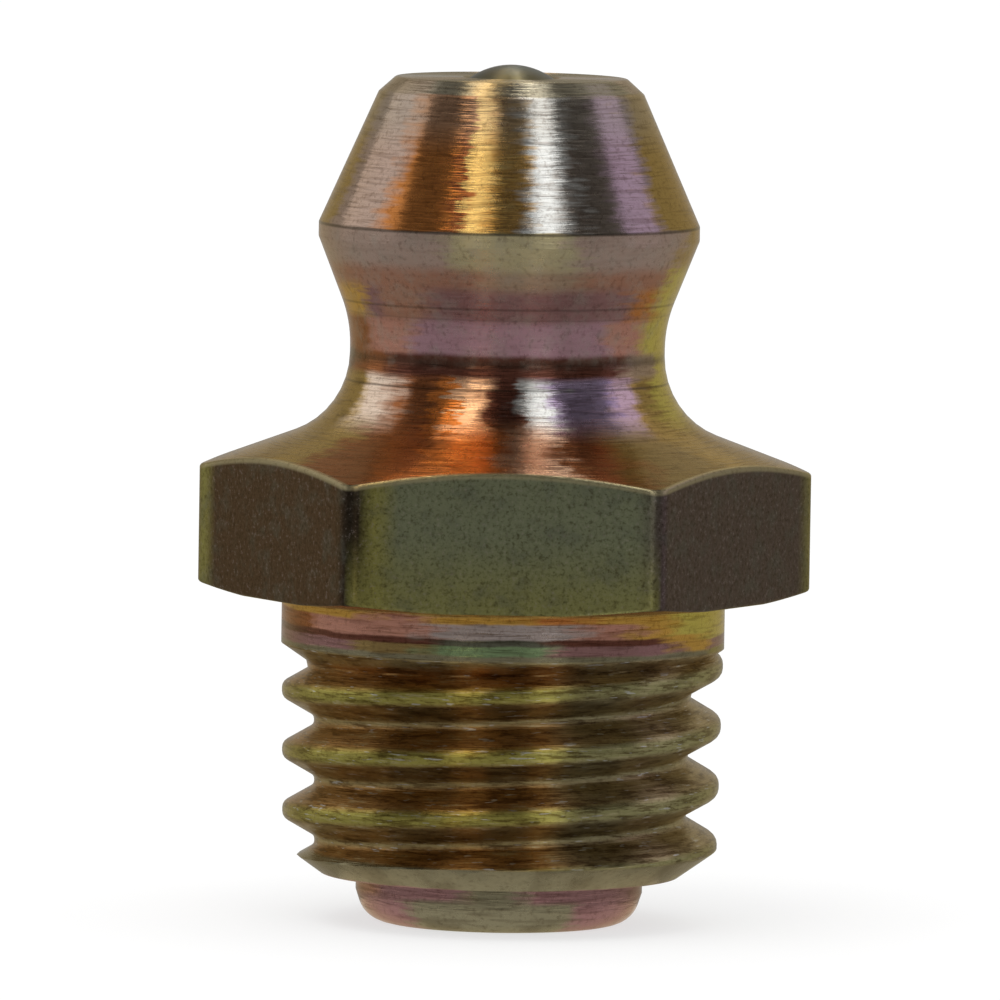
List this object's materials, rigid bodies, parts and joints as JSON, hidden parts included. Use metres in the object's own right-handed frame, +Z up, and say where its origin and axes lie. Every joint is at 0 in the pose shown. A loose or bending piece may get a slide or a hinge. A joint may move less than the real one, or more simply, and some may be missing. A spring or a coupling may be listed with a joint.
{
  "type": "grease nipple",
  "caption": "Straight grease nipple with a hexagon, a gripping head with a sprung check ball, and a short threaded shank.",
  "frame": {"origin": "centre of the tip's end face, the lowest point, on the axis of the shank", "axes": "+Z up along the axis, from the tip through the thread and the hexagon to the head; two flats of the hexagon face along Y, and two of its corners lie along X"},
  "size_m": [0.0108, 0.0094, 0.0151],
  "materials": {
    "body": "turned steel with iridescent yellow zinc plating",
    "ball": "polished bearing steel under a film of the plating",
    "spring": "bright spring steel wire"
  },
  "bodies": {
    "nipple": {"nipple_body": "body", "spring": "spring"},
    "ball": {"check_ball": "ball"}
  },
  "joints": [
    {"name": "ball_lift", "type": "slide", "parent": "nipple", "child": "ball", "axis": [0, 0, -1], "range_m": [0, 0.0015], "stiffness_N_per_m": 964, "springref_m": -0.0015, "deforming": ["spring"]}
  ]
}
